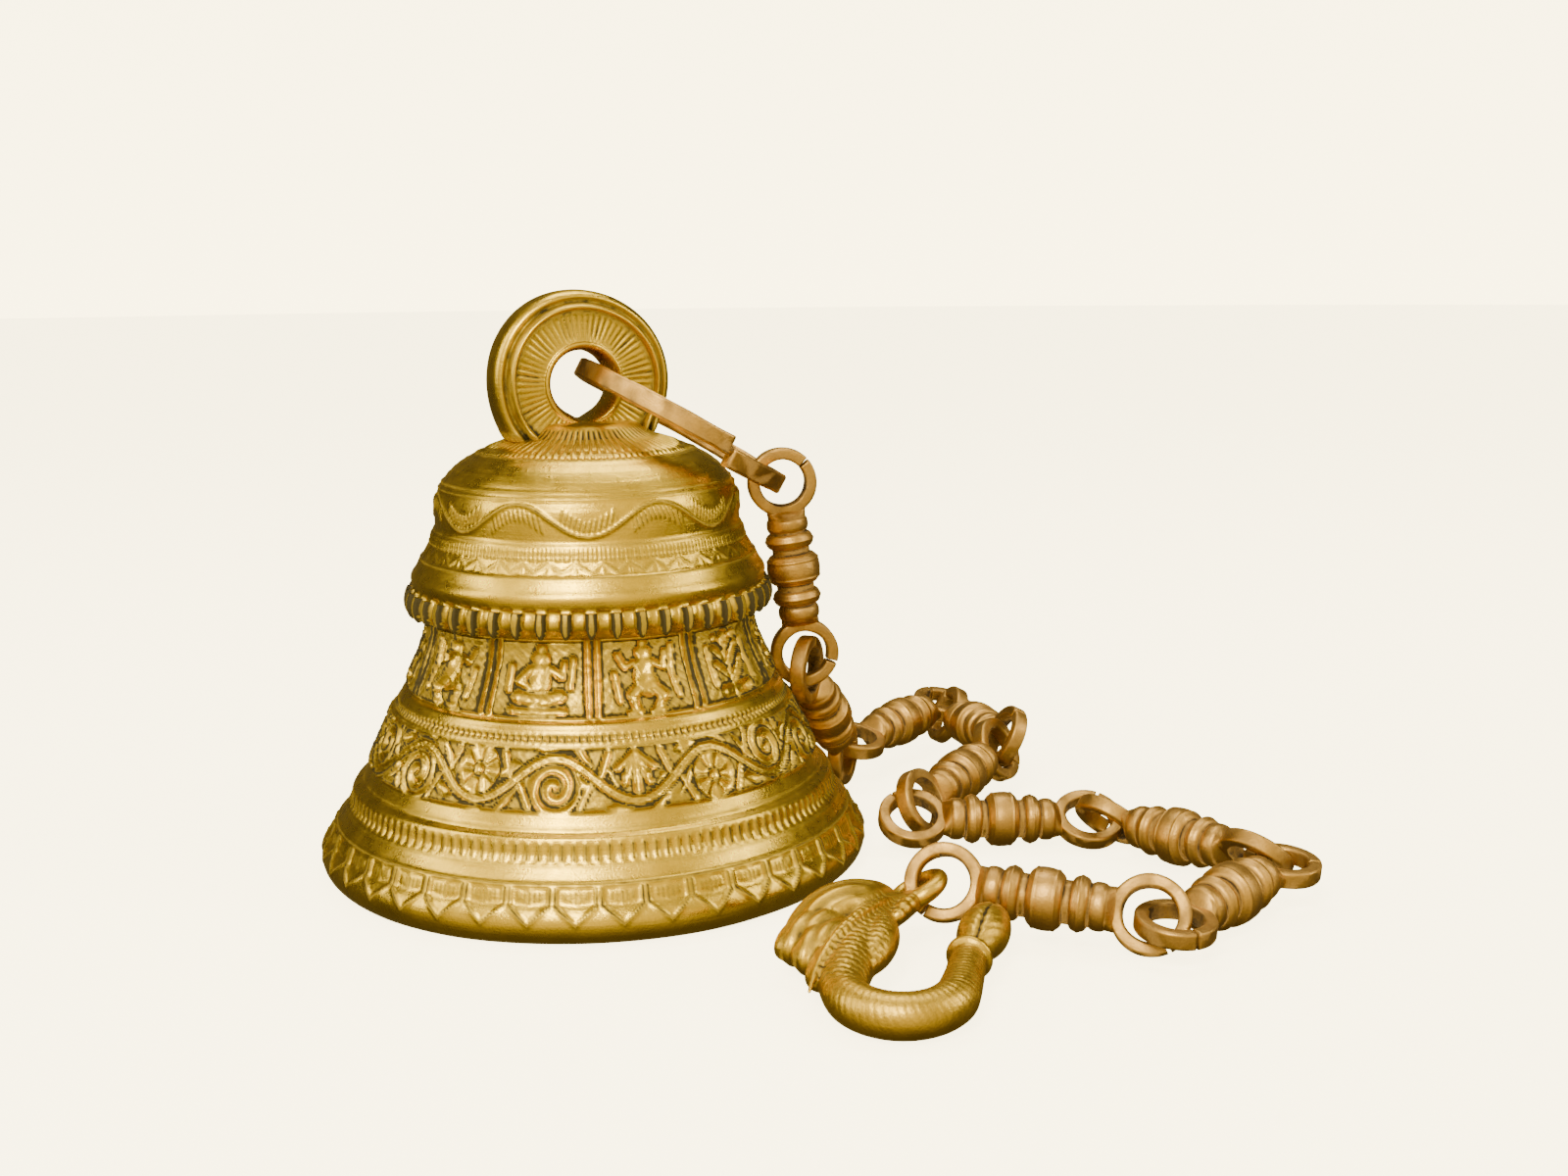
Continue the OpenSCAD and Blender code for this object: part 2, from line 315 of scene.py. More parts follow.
def metal(name, bright, deep, stain, rough, brushed, pitted, patina_gain=1.0, stretch=(1, 1, 1)):
    """Cast metal: polished where it stands proud, stained in the hollows, with brush marks,
    casting pits, smears and worn, paler edges."""
    material = bpy.data.materials.new(name)
    material.use_nodes = True
    tree = material.node_tree
    tree.nodes.clear()
    where = node(tree, "ShaderNodeTexCoord").outputs["Object"]
    random = node(tree, "ShaderNodeObjectInfo").outputs["Random"]
    offset = node(tree, "ShaderNodeCombineXYZ", {0: random, 1: random, 2: random})
    place = node(tree, "ShaderNodeVectorMath", {0: where, 1: offset.outputs[0]}, operation="ADD")
    place = place.outputs[0]
    patches = noise(tree, place, 55, 5, 0.6)
    smears = noise(tree, place, 260, 4, 0.6)
    grain = noise(tree, place, 1900, 3, 0.6)
    stretched = node(tree, "ShaderNodeVectorMath", {0: place, 1: stretch}, operation="MULTIPLY")
    brush = noise(tree, stretched.outputs[0], 420, 4, 0.65)
    hollow = node(tree, "ShaderNodeAttribute", attribute_name="patina").outputs["Fac"]
    uneven = band(tree, smears, 0.3, 0.7, 0.55, 1.25)
    dirt = math_of(tree, "MULTIPLY", math_of(tree, "MULTIPLY", hollow, uneven), patina_gain)
    dirt = band(tree, dirt, 0.02, 0.85)
    film = band(tree, patches, 0.42, 0.72, 0.0, 0.55)
    colour = blend_colour(tree, film, bright, deep)
    colour = blend_colour(tree, band(tree, grain, 0.45, 0.8, 0.0, 0.35), colour, deep)
    colour = blend_colour(tree, dirt, colour, stain)
    shine = band(tree, math_of(tree, "ADD", band(tree, smears, 0.3, 0.75, 0.0, 0.12),
                               math_of(tree, "MULTIPLY", dirt, 0.35)), 0, 1, rough, rough + 1)
    bumps = node(tree, "ShaderNodeBump", {"Height": brush, "Strength": brushed, "Distance": 0.0004})
    bumps = node(tree, "ShaderNodeBump", {"Height": grain, "Strength": pitted, "Distance": 0.0003,
                                          "Normal": bumps.outputs[0]})
    shader = node(tree, "ShaderNodeBsdfPrincipled", {
        "Base Color": colour, "Roughness": shine, "Normal": bumps.outputs[0],
        "Metallic": band(tree, dirt, 0.3, 1.0, 1.0, 0.55)})
    output = node(tree, "ShaderNodeOutputMaterial")
    tree.links.new(shader.outputs[0], output.inputs[0])
    return material


def dress(piece, material, body, slot, *nodes):
    """Gives a piece its material, its body and the CAD nodes it stands for. The slot argument is not used.
    """
    piece.data.materials.clear()
    piece.data.materials.append(material)
    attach(piece, body)
    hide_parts(*nodes)


# ---------------------------------------------------------------- the bell's shell

SHANK_R = 4.0
SHANK_GAP = 0.05
RIM_R = 65.0
CROWN_Z = 102.0
COLUMNS = 720

OUTSIDE = (
    [(SHANK_R, CROWN_Z), (13, CROWN_Z), (18, 100.6), (24, 98.6), (28.6, 96.3), (32, 93.4), (34.2, 90.5),
     (35.2, 87.5), (35.5, 84), (35.6, 80.6), (36.4, 80), (36.8, 77.8), (38.2, 75), (40.2, 72.6)]
    + arc(39.3, 69.4, 2.4, 70, -30, 5) + arc(38, 64.2, 3.4, 45, -80, 6)
    + [(37.4, 60.6), (37.5, 58), (38.6, 54), (40.3, 50), (42.2, 46), (43, 43.6), (44.6, 43.2),
       (45.3, 41.6), (45.4, 40.8), (47.2, 38), (49.2, 34), (51.2, 30), (52.6, 26), (54.6, 22.2),
       (56.4, 21.6), (57, 18), (60, 14), (60.6, 12.8), (61.4, 12.4)]
    + arc(RIM_R - 5, 5, 5, 60, -65, 8) + [(RIM_R - 4, 0)]
)
INSIDE = [(56.5, 0), (57, 4), (56, 13), (51.3, 21), (45.3, 34), (38.5, 46), (33.9, 58), (34.9, 68),
          (32.5, 78), (31.5, 86), (28, 91.5), (22, 95.5), (11, 97), (SHANK_R, 97)]


def row_step(point):
    r, z = point
    if r < 13:
        return 1.5
    if z > 91:
        return 0.8
    if z < 4.5:
        return 0.9
    if 67.5 < z < 73.5 or 13.2 < z < 15.8 or 22.8 < z < 25.4:
        return 0.7
    return 0.44


def crown_rays(turn, r, z):
    """Strokes that run out from the loop's foot, then a row of dots."""
    ray = np.abs(cell(turn, 72))
    rays = -0.35 * (1 - soft(ray, 0.08, 0.3)) * within(r, 12, 22.3 + 0.8 * np.sin(TAU * turn * 5), 0.6)
    dots = 0.38 * line(cell(turn, 104), 0.28) * line(r - 24.2, 0.6)
    rings = -0.3 * (line(r - 22.9, 0.3) + line(r - 25.6, 0.35))
    return rays + dots + rings


def lathe_lines(turn, r, z):
    """Turned lines and a few stray cuts on the shoulder."""
    wander = 0.25 * np.sin(TAU * turn * 2 + 1) + 0.12 * np.sin(TAU * turn * 9)
    lines = 0
    for at, deep in ((95.4, 0.1), (94.5, 0.12), (93.2, 0.1), (91.6, 0.28), (90.4, 0.3)):
        lines = lines - deep * line(z - at - wander * 0.4, 0.28)
    cuts = line(np.sin(TAU * turn * 13 + z * 1.7), 0.12) * line(np.sin(z * 3.1 + turn * 40), 0.5)
    return lines - 0.12 * cuts * within(z, 92.4, 97.2, 0.4)


def wave_band(turn, r, z):
    """A sinuous line with short curved strokes in the hollow of each bend."""
    phase = TAU * turn * 7
    middle, swing = 85.9, 3.4
    crest = np.cos(phase)
    slope = swing * 7 / r * np.sin(phase)
    gap = (z - middle - swing * crest) / np.sqrt(1 + slope ** 2)
    cut = -0.5 * line(gap, 0.4)
    inside = -gap * np.sign(crest)
    stroke = np.abs(cell(turn + 0.0012 * (z - middle) * np.sign(crest), 200))
    hatch = -0.34 * (1 - soft(stroke, 0.1, 0.3)) * within(inside, 0.9, 3.4, 0.3)
    hatch = hatch * soft(np.abs(crest), 0.25, 0.45)
    return cut + hatch * within(z, 81.6, 89.8, 0.3)


def tick_rows(turn, r, z):
    """A row of U-shaped strokes over a row of engraved triangles, between turned lines."""
    u = cell(turn, 120)
    ticks = -0.3 * line(np.abs(u) - 0.24, 0.12) * within(z, 77.8, 80.0, 0.25)
    ticks = ticks - 0.25 * line(z - 77.7 - 1.2 * u ** 2, 0.25) * (np.abs(u) < 0.36)
    side = 1 - 2 * np.abs(cell(turn, 40))
    edge = 75.0 + 2.0 * side
    leaf = -0.25 * line((z - edge) * 0.75, 0.3) * within(z, 74.8, 77.2, 0.2)
    vein = -0.18 * line(cell(turn, 40), 0.05) * within(z, 75, 76.4, 0.2)
    return ticks + leaf + vein - 0.32 * line(z - 80.7, 0.35) - 0.3 * line(z - 73.9, 0.35)


def block_ring(turn, r, z):
    """Upright rounded blocks with deep slots between them."""
    u = np.abs(cell(turn, 48))
    slot = soft(u, 0.24, 0.33) * within(z, 61.9 + 1.2 * soft(0.5 - u, 0.08, 0.2), 67.0, 0.45)
    face = 0.3 * (1 - (u / 0.3) ** 2) * (u < 0.3) * within(z, 61.6, 67.4, 0.4)
    return face - 2.0 * slot - 0.35 * line(z - 67.7, 0.3) - 0.4 * line(z - 61.1, 0.35)


DANCER = (
    ((0, 12.9), (0, 13.1), 1.55, 1.0), ((0, 14.9), (0, 15.3), 0.9, 0.8), ((0, 10.6), (0.3, 8.4), 1.75, 1.0),
    ((-1.7, 10.9), (-3.9, 9.5), 0.8, 0.8), ((-3.9, 9.5), (-4.3, 12.7), 0.75, 0.85),
    ((1.7, 10.9), (3.8, 10.2), 0.8, 0.8), ((3.8, 10.2), (4.9, 12.8), 0.75, 0.85),
    ((0.2, 7.0), (-0.2, 6.0), 2.1, 1.0), ((-1.2, 6.0), (-3.1, 3.7), 1.15, 0.95),
    ((-3.1, 3.7), (-1.6, 1.2), 0.95, 0.85), ((1.1, 6.0), (3.0, 4.2), 1.15, 0.95),
    ((3.0, 4.2), (2.5, 1.2), 0.95, 0.85), ((-2.6, 0.9), (-0.6, 0.8), 0.7, 0.8),
    ((1.8, 0.9), (3.8, 0.8), 0.7, 0.8), ((-5.6, 14.2), (-5.2, 8.0), 0.65, 0.6),
    ((-5.2, 8.0), (-6.3, 3.4), 0.65, 0.6), ((5.9, 8.8), (5.5, 3.2), 0.7, 0.6),
)
SITTER = (
    ((0, 12.2), (0, 12.4), 1.6, 1.0), ((0, 14.4), (0, 14.7), 1.0, 0.8), ((0, 10.0), (0, 6.8), 1.9, 1.0),
    ((-1.9, 10.0), (-4.0, 7.4), 0.85, 0.85), ((-4.0, 7.4), (-1.8, 6.0), 0.75, 0.8),
    ((1.9, 10.0), (4.1, 8.4), 0.85, 0.85), ((4.1, 8.4), (4.4, 11.4), 0.75, 0.8),
    ((-3.9, 4.2), (1.6, 3.6), 1.35, 1.0), ((3.9, 4.4), (-1.0, 3.2), 1.35, 0.9),
    ((-5.0, 1.5), (5.0, 1.5), 0.9, 0.9), ((-5.6, 10.6), (-6.0, 5.4), 0.7, 0.6),
    ((6.0, 12.2), (5.8, 6.2), 0.7, 0.6), ((-3.2, 0.7), (3.2, 0.7), 0.6, 0.6),
)
SPRAY = (
    ((0, 1.0), (0, 14.6), 0.75, 0.9), ((0, 4.0), (-3.6, 7.8), 0.9, 0.8), ((0, 4.0), (3.6, 7.8), 0.9, 0.8),
    ((0, 7.6), (-3.3, 11.4), 0.95, 0.85), ((0, 7.6), (3.3, 11.4), 0.95, 0.85),
    ((0, 13.2), (0, 13.4), 1.7, 1.0), ((-2.6, 13.6), (-2.7, 13.8), 1.0, 0.7),
    ((2.6, 13.6), (2.7, 13.8), 1.0, 0.7), ((-3.6, 2.0), (3.6, 2.0), 1.2, 0.9),
    ((-5.2, 12.0), (-5.6, 3.6), 0.7, 0.6), ((5.2, 12.0), (5.6, 3.6), 0.7, 0.6),
)
PANELS = 11
PANEL_LOW, PANEL_HIGH = 43.9, 60.7


def figure_band(turn, r, z):
    """Panels between pairs of ribs, each with a small standing, seated or leafy motif."""
    u = cell(turn + 0.5 / PANELS, PANELS)
    index = np.floor((turn + 0.5 / PANELS) * PANELS).astype(int) % PANELS
    x = u * TAU * r / PANELS
    y = z - PANEL_LOW
    rib_gap = TAU * r / PANELS / 2 - np.abs(x)
    ribs = np.sqrt(np.clip(1 - ((rib_gap - 1.05) / 0.8) ** 2, 0, 1))
    motif = np.zeros_like(z)
    for k, limbs in enumerate((DANCER, SITTER, DANCER, SPRAY)):
        mirror = -1 if k == 2 else 1
        chosen = (index % 4 == k) | ((k == 1) & (index == 10))
        for start, end, radius, height in limbs:
            raised = height * limb(x * mirror * 0.88, y, start, end, 1.2 * radius)
            motif = np.where(chosen, np.maximum(motif, raised), motif)
    ground = 0.1 * waves(x, y * 1.3, index * 3.0, 0.45) + 0.06 * waves(y, x, index * 1.0, 0.2)
    height = -1.4 + 1.75 * np.maximum(np.maximum(ribs, motif), 0) + ground
    return height * within(z, PANEL_LOW + 0.2, PANEL_HIGH - 0.2, 0.35)


def bead_row(turn, r, z):
    """A fine row of beads under the ridge."""
    beads = 0.8 * np.sqrt(np.clip(1 - (cell(turn, 180) / 0.45) ** 2, 0, 1)) * line(z - 40.3, 0.6)
    return beads - 0.45 * within(z, 39.4, 41.2, 0.2) - 0.25 * line(z - 38.9, 0.3)


VINE_WAVES = 9
VINE_LOW, VINE_HIGH = 26.2, 38.2


def vine_band(turn, r, z):
    """A running stem with a scroll, a rosette or a leaf in each bend."""
    middle, swing = 32.3, 4.3
    phase = TAU * turn * VINE_WAVES
    slope = swing * VINE_WAVES / r * np.cos(phase)
    gap = (z - middle - swing * np.sin(phase)) / np.sqrt(1 + slope ** 2)
    stem = np.sqrt(np.clip(1 - (gap / 1.05) ** 2, 0, 1))
    stem = stem - 0.35 * line(gap, 0.22) * (stem > 0)
    half = turn * VINE_WAVES * 2
    index = np.floor(half).astype(int) % (2 * VINE_WAVES)
    side = np.where(index % 2 == 0, 1.0, -1.0)
    x = (half % 1 - 0.5) * TAU * r / (2 * VINE_WAVES)
    y = (z - middle) * side + 1.5
    far = np.hypot(x, y)
    round_turn = np.arctan2(y, x) / TAU
    scroll = (0.5 + 0.5 * np.cos(TAU * (far / 2.9 - round_turn))) ** 0.6 * (1 - soft(far, 5.4, 6.1))
    petals = (0.45 + 0.55 * np.abs(np.cos(TAU * round_turn * 3.5))) * within(far, 1.5, 4.9, 0.3)
    rosette = np.maximum(petals, np.sqrt(np.clip(1 - (far / 1.4) ** 2, 0, 1)))
    leaf = np.zeros_like(z)
    for tip_x, tip_y, width in ((0, 4.6, 1.1), (-2.6, 3.0, 1.0), (2.6, 3.0, 1.0), (-4.0, 0.0, 0.9),
                                (4.0, 0.0, 0.9)):
        leaf = np.maximum(leaf, limb(x, y, (0, -3.4), (tip_x, tip_y * 0.9 - 0.4), width))
    for dot_x, dot_y in ((-1.3, -0.4), (1.3, -0.4), (0, 0.9), (-2.6, 0.9), (2.6, 0.9), (0, -1.7)):
        leaf = np.maximum(leaf, limb(x, y, (dot_x, dot_y), (dot_x, dot_y), 0.75) * 1.15)
    kind = np.array([0, 1, 0, 2, 1, 0])[index % 6]
    inner = np.where(kind == 0, scroll, np.where(kind == 1, rosette, leaf))
    corner = limb(x, y, (-5.5, -3.6), (-7.4, 0.5), 0.9)
    corner = np.maximum(corner, limb(x, y, (5.5, -3.6), (7.4, 0.5), 0.9))
    lean = 14 * phase / math.pi + 0.9 * np.abs(gap)
    lobes = np.clip(np.cos(lean), 0, 1) ** 0.5 * within(np.abs(gap), 1.4, 3.4, 0.35)
    lobes = lobes * soft(far, 4.9, 5.6)
    height = np.maximum(np.maximum(stem, 0.9 * inner), np.maximum(0.7 * corner, 0.75 * lobes))
    ground = 0.08 * waves(x, y, index * 2.0, 0.4)
    return (-0.95 + 1.45 * height + ground) * within(z, VINE_LOW, VINE_HIGH, 0.3)


def low_ticks(turn, r, z):
    """A row of short upright ticks above the lip, under a small step."""
    tick = soft(np.abs(cell(turn, 144)), 0.26, 0.4)
    row = -0.45 * tick * within(z, 16.9, 20.6, 0.35)
    return row - 0.2 * line(z - 16.2, 0.3) - 0.45 * line(z - 12.9, 0.4) - 0.2 * line(z - 22.9, 0.35)


PETALS = 40


def petal_row(turn, r, z):
    """Petals with pointed tips and short strokes inside, round the top of the lip."""
    x = np.abs(cell(turn, PETALS)) * TAU * 63 / PETALS
    tip = 5.6 + 0.8 * x
    outline = np.maximum(line((z - tip) * 0.78, 0.3) * (x < 4.4), line(x - 4.3, 0.3) * (z > 8.6))
    strokes = 0
    for at in (0, 1.15, 2.3):
        strokes = strokes + line(x - at, 0.26) * within(z, 9.3 + 0.3 * at, 11.7, 0.3)
    inner = within(z - tip, 0.5, 6, 0.5) * (x < 3.9)
    return (0.16 * inner - 0.42 * outline - 0.3 * strokes) * (z < 12.4)


def bell_shell():
    profile = resample(OUTSIDE, row_step)
    for _ in range(2):
        profile[2:-2] = (profile[1:-3] + 2 * profile[2:-2] + profile[3:-1]) / 4
    inside = resample(INSIDE, lambda p: 2.4)
    outer_rows = len(profile)
    profile = np.vstack([profile, inside])
    along = np.roll(profile, -1, 0) - np.roll(profile, 1, 0)
    along /= np.linalg.norm(along, axis=1, keepdims=True)
    normal = np.stack([-along[:, 1], along[:, 0]], 1)
    turn = np.arange(COLUMNS) / COLUMNS
    r = np.repeat(profile[:, :1], COLUMNS, 1)
    z = np.repeat(profile[:, 1:], COLUMNS, 1)
    # The front of the bell, which faces -Y, is where the patterns start
    turns = np.repeat((turn - 0.25)[None] % 1, len(profile), 0)
    height = sum(f(turns, r, z) for f in (
        crown_rays, lathe_lines, wave_band, tick_rows, block_ring, figure_band, bead_row,
        vine_band, low_ticks, petal_row))
    outer = (np.arange(len(profile)) < outer_rows)[:, None] & (r > 12)
    height = np.where(outer, height, 0)
    angle = turn * TAU
    uneven = 0.12 * waves(r * np.cos(angle), r * np.sin(angle), z, 9) * (r > 12)
    eased = height
    for _ in range(3):
        eased = (np.roll(eased, 1, 0) + np.roll(eased, -1, 0) + np.roll(eased, 1, 1)
                 + np.roll(eased, -1, 1) + 2 * eased) / 6
    patina = np.where(outer, 2.1 * (eased - height) + 0.22 * np.clip(-height, 0, 1.2), 0.5)
    total = height + uneven
    radius = r + normal[:, :1] * -total
    level = z + normal[:, 1:] * -total
    level = np.maximum(level, 0)
    points = np.stack([radius * np.cos(angle), radius * np.sin(angle), level], -1)
    piece = Shape().grid(points, patina, wrap_rows=True).object("bell_body")
    outward(piece)
    return piece


# ---------------------------------------------------------------- the crown loop

LOOP_R = 21.5
HOLE_R = 7.5
FOOT_ANGLE = math.acos(7.5 / 8.7)
LOOP_Z = 113.5
LOOP_OFFSET = 1.5
LOOP_T = 13.0
LOOP_TURN = math.radians(20)
LOOP_FLOOR = 100.8
EYE_Z = 86.0


def loop_section(hole, outer):
    """Half of the section, from the middle of the hole's wall over the face to the middle
    of the rim's groove, as rows of (radius, offset from the loop's plane)."""
    h = LOOP_T / 2
    return [(hole, 0), (hole + 0.1, 2.4), (hole + 0.6, h - 2.2), (hole + 1.3, h - 1.2),
            (hole + 2.0, h - 1.4),
            (hole + 2.5, h - 1.9), (outer - 5.2, h - 1.9), (outer - 4.7, h - 1.2), (outer - 4.2, h - 0.1),
            (outer - 3.7, h - 0.1), (outer - 3.2, h - 1.0), (outer - 2.9, h - 2.3), (outer - 2.4, h - 2.5),
            (outer - 1.7, h - 1.9), (outer - 0.8, h - 2.5), (outer - 0.15, h - 4.0), (outer, 0)]


def crown_loop():
    shape = Shape()
    angles = np.arange(420) / 420 * TAU
    rows, marks = [], []
    for a in angles:
        low = abs((a - 1.5 * math.pi + math.pi) % TAU - math.pi)
        hole = HOLE_R / math.cos(max(FOOT_ANGLE - low, 0))
        outer = LOOP_R + 0.25 * math.sin(3 * a + 1)
        half = smooth_curve(loop_section(hole, outer), 56)
        section = np.vstack([half, (half * (1, -1))[-2:0:-1]])
        rho, off = section[:, 0], section[:, 1]
        span = (rho - hole) / (outer - hole)
        face = within(span, 0.22, 0.61, 0.03) * (np.abs(off) > 2)
        stroke = np.abs(cell(np.full_like(rho, a / TAU) + 0.004 * span, 66))
        cut = 0.34 * (1 - soft(stroke, 0.1, 0.32)) * face * (0.65 + 0.35 * math.sin(a * 11))
        off = off - np.sign(off) * cut
        z = LOOP_Z + rho * math.sin(a)
        foot = np.exp(-np.clip(z - 102.4, 0, 20) / 1.6)
        off = off * (1 + 0.32 * foot)
        z = np.maximum(z, LOOP_FLOOR)
        flat = rho * math.cos(a)
        rows.append(np.stack([flat, off, z], 1))
        groove = line(span - 0.81, 0.05) * (np.abs(section[:, 1]) > 3)
        edge = line(span - 0.645, 0.035) + 0.8 * line(span - 0.2, 0.03)
        stained = 0.55 * edge * (np.abs(off) > 2) + 0.5 * foot * (span > 0.1) * 0.6
        marks.append(1.6 * cut + 0.5 * groove + stained)
    flat, off, z = np.moveaxis(np.array(rows), -1, 0)
    c, s = math.cos(LOOP_TURN), math.sin(LOOP_TURN)
    wobble = 0.12 * waves(flat, off * 2, z, 5)
    off = off + wobble * np.sign(off)
    points = np.stack([c * flat + s * off - LOOP_OFFSET, s * flat - c * off, z], -1)
    shape.grid(points, np.array(marks), wrap_rows=True)
    # The collar over the crown
    collar = smooth_curve([(4.5, 99.0), (10, 99.0), (20.4, 99.1), (20.6, 99.75), (17.5, 101.0),
                            (15.0, 102.2),
                           (13.0, 103.5), (10.5, 104.6), (4.5, 104.8)], 64)
    points = lathe(collar, 360)
    turn = np.arange(360) / 360
    stroke = (1 - soft(np.abs(cell(turn, 72)), 0.1, 0.3))[None] * within(collar[:, 0], 13, 20, 0.5)[:, None]
    stroke = stroke * (collar[:, 1] > 100.6)[:, None]
    points[..., 2] -= 0.22 * stroke
    shape.grid(points, 0.12 + 0.5 * stroke, caps=True)
    # The shank under the crown and the eye that carries the clapper's ring
    shank = [(SHANK_R - SHANK_GAP, 88), (SHANK_R - SHANK_GAP, 94), (SHANK_R - SHANK_GAP, 101)]
    shape.grid(lathe(smooth_curve(shank, 12), 48), 0.4, caps=True)
    t = np.arange(64) / 64 * TAU
    outline = rounded_box(2.9, 4.6, 0.7, 4)
    eye = np.array([[((4.05 + x) * math.cos(a), y, EYE_Z + (4.05 + x) * math.sin(a))
                     for x, y in outline] for a in t])
    shape.grid(eye, 0.35, wrap_rows=True)
    piece = shape.object("hanging_loop")
    outward(piece)
    return piece


# ---------------------------------------------------------------- the clapper

WIRE_R = 1.3
CLAPPER_RING_R = 6.0
ROD_EYE_R = 3.9
ROD_EYE_WIRE_R = 1.5
ROD_PIVOT_Z = EYE_Z - 2 * CLAPPER_RING_R
ROD_R = 2.0
BALL_Z = 15.0


def washer():
    profile = [(SHANK_R + 0.02, 95.5), (5, 95.42), (7.2, 95.45), (7.9, 95.8), (8.0, 96.3),
               (7.8, 96.98), (5, 97), (SHANK_R + 0.02, 97)]
    points = lathe(smooth_curve(profile, 30), 72)
    t = np.arange(72) / 72 * TAU
    points *= (1 + 0.012 * np.sin(5 * t + 1))[None, :, None] * (1, 1, 0) + (0, 0, 1)
    piece = Shape().grid(points, 0.45, wrap_rows=True).object("burr_washer")
    outward(piece)
    return piece


def bent_ring(radius, wire, gap, around):
    """A ring of wire bent closed, its two ends gap degrees apart, in the YZ plane."""
    t = np.radians(np.linspace(gap / 2, 360 - gap / 2, around) - 90)
    path = np.stack([np.zeros_like(t), radius * np.cos(t), radius * np.sin(t)], 1)
    radii = wire * (1 - 0.03 * np.abs(np.sin(3 * t)))
    radii[0] = radii[-1] = wire * 0.8
    return tube(path, radii, 24, up=(1, 0, 0))


def clapper_ring():
    points = bent_ring(CLAPPER_RING_R, WIRE_R, 5, 97) + (0, 0, EYE_Z - CLAPPER_RING_R)
    piece = Shape().grid(points, 0.35, caps=True).object("clapper_shackle")
    outward(piece)
    return piece


def clapper_rod():
    """A rod whose top is bent into an eye, the end wrapped against the rod."""
    shape = Shape()
    eye = bent_ring(ROD_EYE_R, ROD_EYE_WIRE_R, 0.8, 81)
    eye = np.stack([eye[..., 1], eye[..., 0], eye[..., 2]], -1) + (0, 0, ROD_PIVOT_Z)
    shape.grid(eye, 0.35, caps=True)
    z = np.linspace(ROD_PIVOT_Z - ROD_EYE_R - 0.2, BALL_Z - 2, 80)
    wrap = 0.16 * np.sin(z * TAU / 1.7) * within(z, 60, 68, 0.6)
    radii = ROD_R * (1 - 0.02 * np.abs(np.sin(z * 0.7))) + wrap - 0.1 * (z < 60)
    path = np.stack([np.zeros_like(z), np.zeros_like(z), z], 1)
    shape.grid(tube(path, radii, 24, up=(0, 1, 0)), 0.3 + 0.2 * (wrap < 0)[:, None], caps=True)
    piece = shape.object("clapper_stem")
    outward(piece)
    return piece


def clapper_ball():
    """A turned drop with a raised band, a collar above it and a button below."""
    profile = [(0.3, BALL_Z - 10), (1.6, BALL_Z - 9.9), (2.6, BALL_Z - 9.3), (5.4, BALL_Z - 8.3),
               (8.2, BALL_Z - 5.6), (9.6, BALL_Z - 2.4), (9.8, BALL_Z - 1.1), (10.25, BALL_Z - 0.8),
               (10.25, BALL_Z + 0.8), (9.8, BALL_Z + 1.1), (9.3, BALL_Z + 3.2), (7.4, BALL_Z + 6.4),
               (4.6, BALL_Z + 8.8), (3.6, BALL_Z + 9.6), (3.9, BALL_Z + 10.4), (3.5, BALL_Z + 11.4),
               (2.4, BALL_Z + 11.9), (ROD_R - 0.4, BALL_Z + 11.9)]
    fine = smooth_curve(profile, 110)
    points = lathe(fine, 96)
    neck = line(fine[:, 1] - BALL_Z - 9.3, 0.8)
    belt = line(np.abs(fine[:, 1] - BALL_Z) - 1.3, 0.4)
    patina = 0.18 + 0.5 * (neck + belt)
    piece = Shape().grid(points, patina[:, None], caps=True).object("clapper_bob")
    outward(piece)
    return piece


# ---------------------------------------------------------------- the open ring

RING_R = 26.5
RING_W = 5.2
RING_T = 4.0
RING_STEP = 2.6
# How much slimmer the visible bar is than the CAD's, so that link 1 swings clear of it
RING_EASE = 0.5
RING_AT = Vector((22.8, 8, 102.5))
RING_CUT_AT = -68
RING_GAP = 3.0


def split_ring():
    """A flat bar bent into a ring. Its two cut ends stand a step apart."""
    around = np.radians(np.linspace(-180 + RING_GAP / 2, 180 - RING_GAP / 2, 241))
    outline = rounded_box(RING_T - RING_EASE, RING_W - RING_EASE, 0.75, 6)
    outline = smooth_curve(np.vstack([outline, outline[:1]]), 57)[:-1]
    swell = 1 + 0.03 * np.sin(7 * around) + 0.02 * np.sin(13 * around + 1)
    x = RING_R + outline[None, :, 0] * swell[:, None]
    lift = 0.5 * RING_STEP * np.sign(around) * (1 - np.cos(around)) / 2
    z = outline[None, :, 1] * (2 - swell[:, None]) + lift[:, None]
    # The side of the ring opposite the cut is where around is 0
    angle = around[:, None] + math.pi
    points = np.stack([x * np.cos(angle), x * np.sin(angle), z], -1)
    dent = 0.09 * waves(points[..., 0], points[..., 1], points[..., 2], 2.6)
    scale = 1 + dent / RING_R
    points[..., :2] *= scale[..., None]
    edge = np.abs(np.abs(outline[None, :, 1]) - RING_W / 2 + 0.4) < 0.3
    patina = 0.25 + 0.25 * waves(points[..., 0], points[..., 1], points[..., 2], 1.5) - 0.25 * edge
    piece = Shape().grid(points, patina, caps=True).object("hanging_ring")
    outward(piece)
    turn = Euler((math.radians(-3), math.radians(30), 0)).to_matrix().to_4x4()
    cut = Matrix.Rotation(math.radians(RING_CUT_AT), 4, "Z")
    piece.data.transform(Matrix.Translation(RING_AT * MM) @ turn @ cut)
    return piece


# ---------------------------------------------------------------- the chain

LINK_PITCH = 43.0
LINK_RING_R = 7.0
LINK_BAND = 2.9
LINK_T = 3.8
LINK_CUTS = (65, -55)
LINK_GAP = 0.7
NECK_R = 4.6
# Beads of a link's body: place, radius, width
BEADS = ((-11, 5.1, 3.3), (-7.1, 5.8, 3.8), (0, 6.65, 7.6), (7.1, 5.8, 3.8), (11, 5.1, 3.3))
